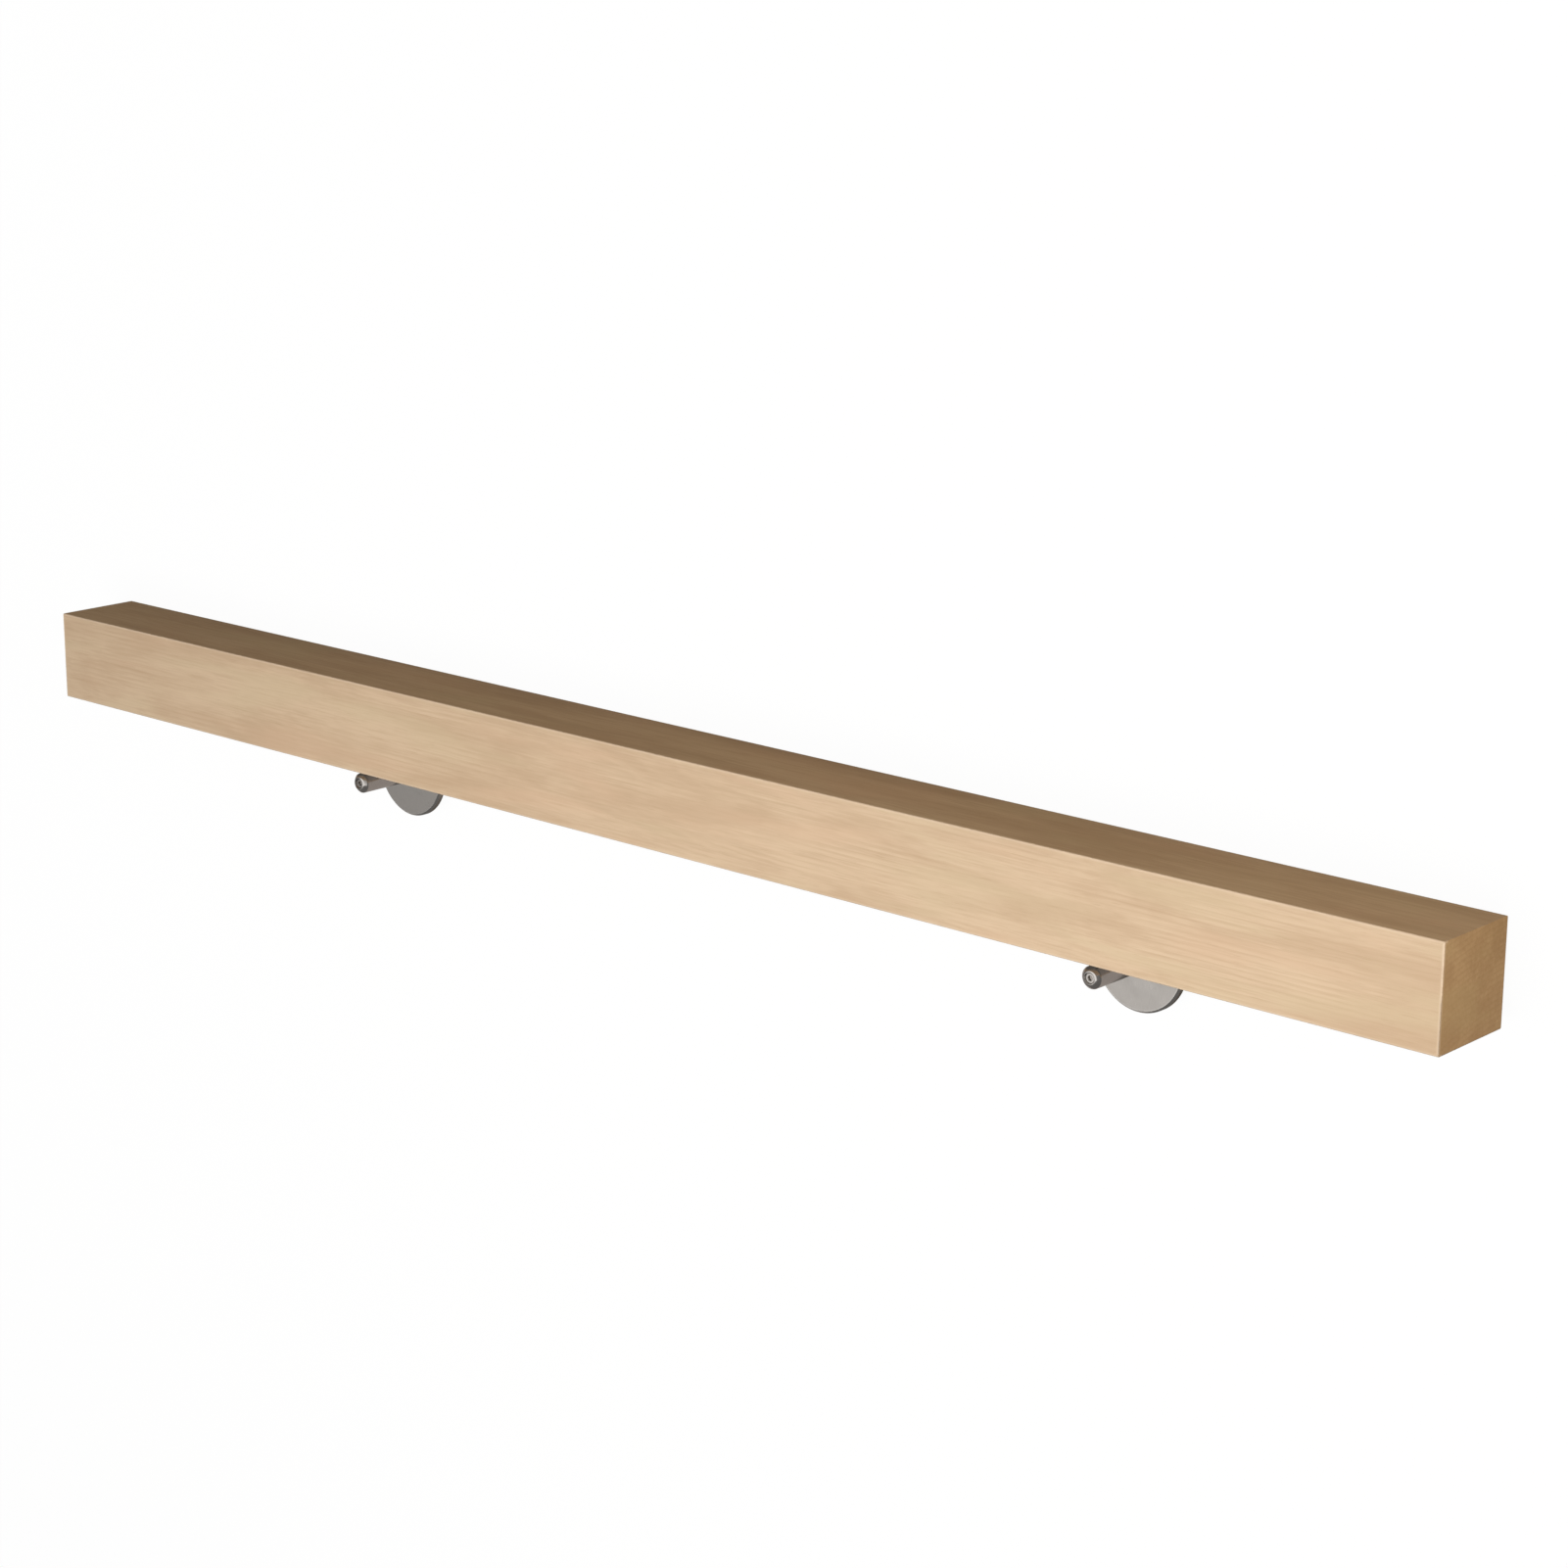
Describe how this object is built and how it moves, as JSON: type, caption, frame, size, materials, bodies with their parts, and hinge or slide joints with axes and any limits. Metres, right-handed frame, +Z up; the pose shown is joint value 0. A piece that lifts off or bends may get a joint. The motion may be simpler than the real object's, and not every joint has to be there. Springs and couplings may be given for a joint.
{
  "type": "stair handrail length",
  "caption": "Square solid-wood stair handrail length with round stainless wall brackets screwed under it; each has a wall disc, an arm, a post and a saddle.",
  "frame": {"origin": "middle of the overall box's footprint, on the floor the part lies on", "axes": "+X along the rail from its left end to its right end, +Z up from the floor. The part lies on its back: the face seen in front when mounted looks up, and the wall side is underneath, leaning 11 degrees."},
  "size_m": [1.0668, 0.1112, 0.0669],
  "materials": {
    "rail_wood": "satin",
    "bracket_steel": "satin",
    "screw_steel": "satin"
  },
  "bodies": {
    "root": {"rail": "rail_wood", "left_wall_disc": "bracket_steel", "left_arm": "bracket_steel", "left_post": "bracket_steel", "left_saddle": "bracket_steel", "left_saddle_screw": "screw_steel", "left_wood_screw_a": "screw_steel", "left_wood_screw_b": "screw_steel", "left_set_screw": "screw_steel", "right_wall_disc": "bracket_steel", "right_arm": "bracket_steel", "right_post": "bracket_steel", "right_saddle": "bracket_steel", "right_saddle_screw": "screw_steel", "right_wood_screw_a": "screw_steel", "right_wood_screw_b": "screw_steel", "right_set_screw": "screw_steel"}
  },
  "joints": []
}
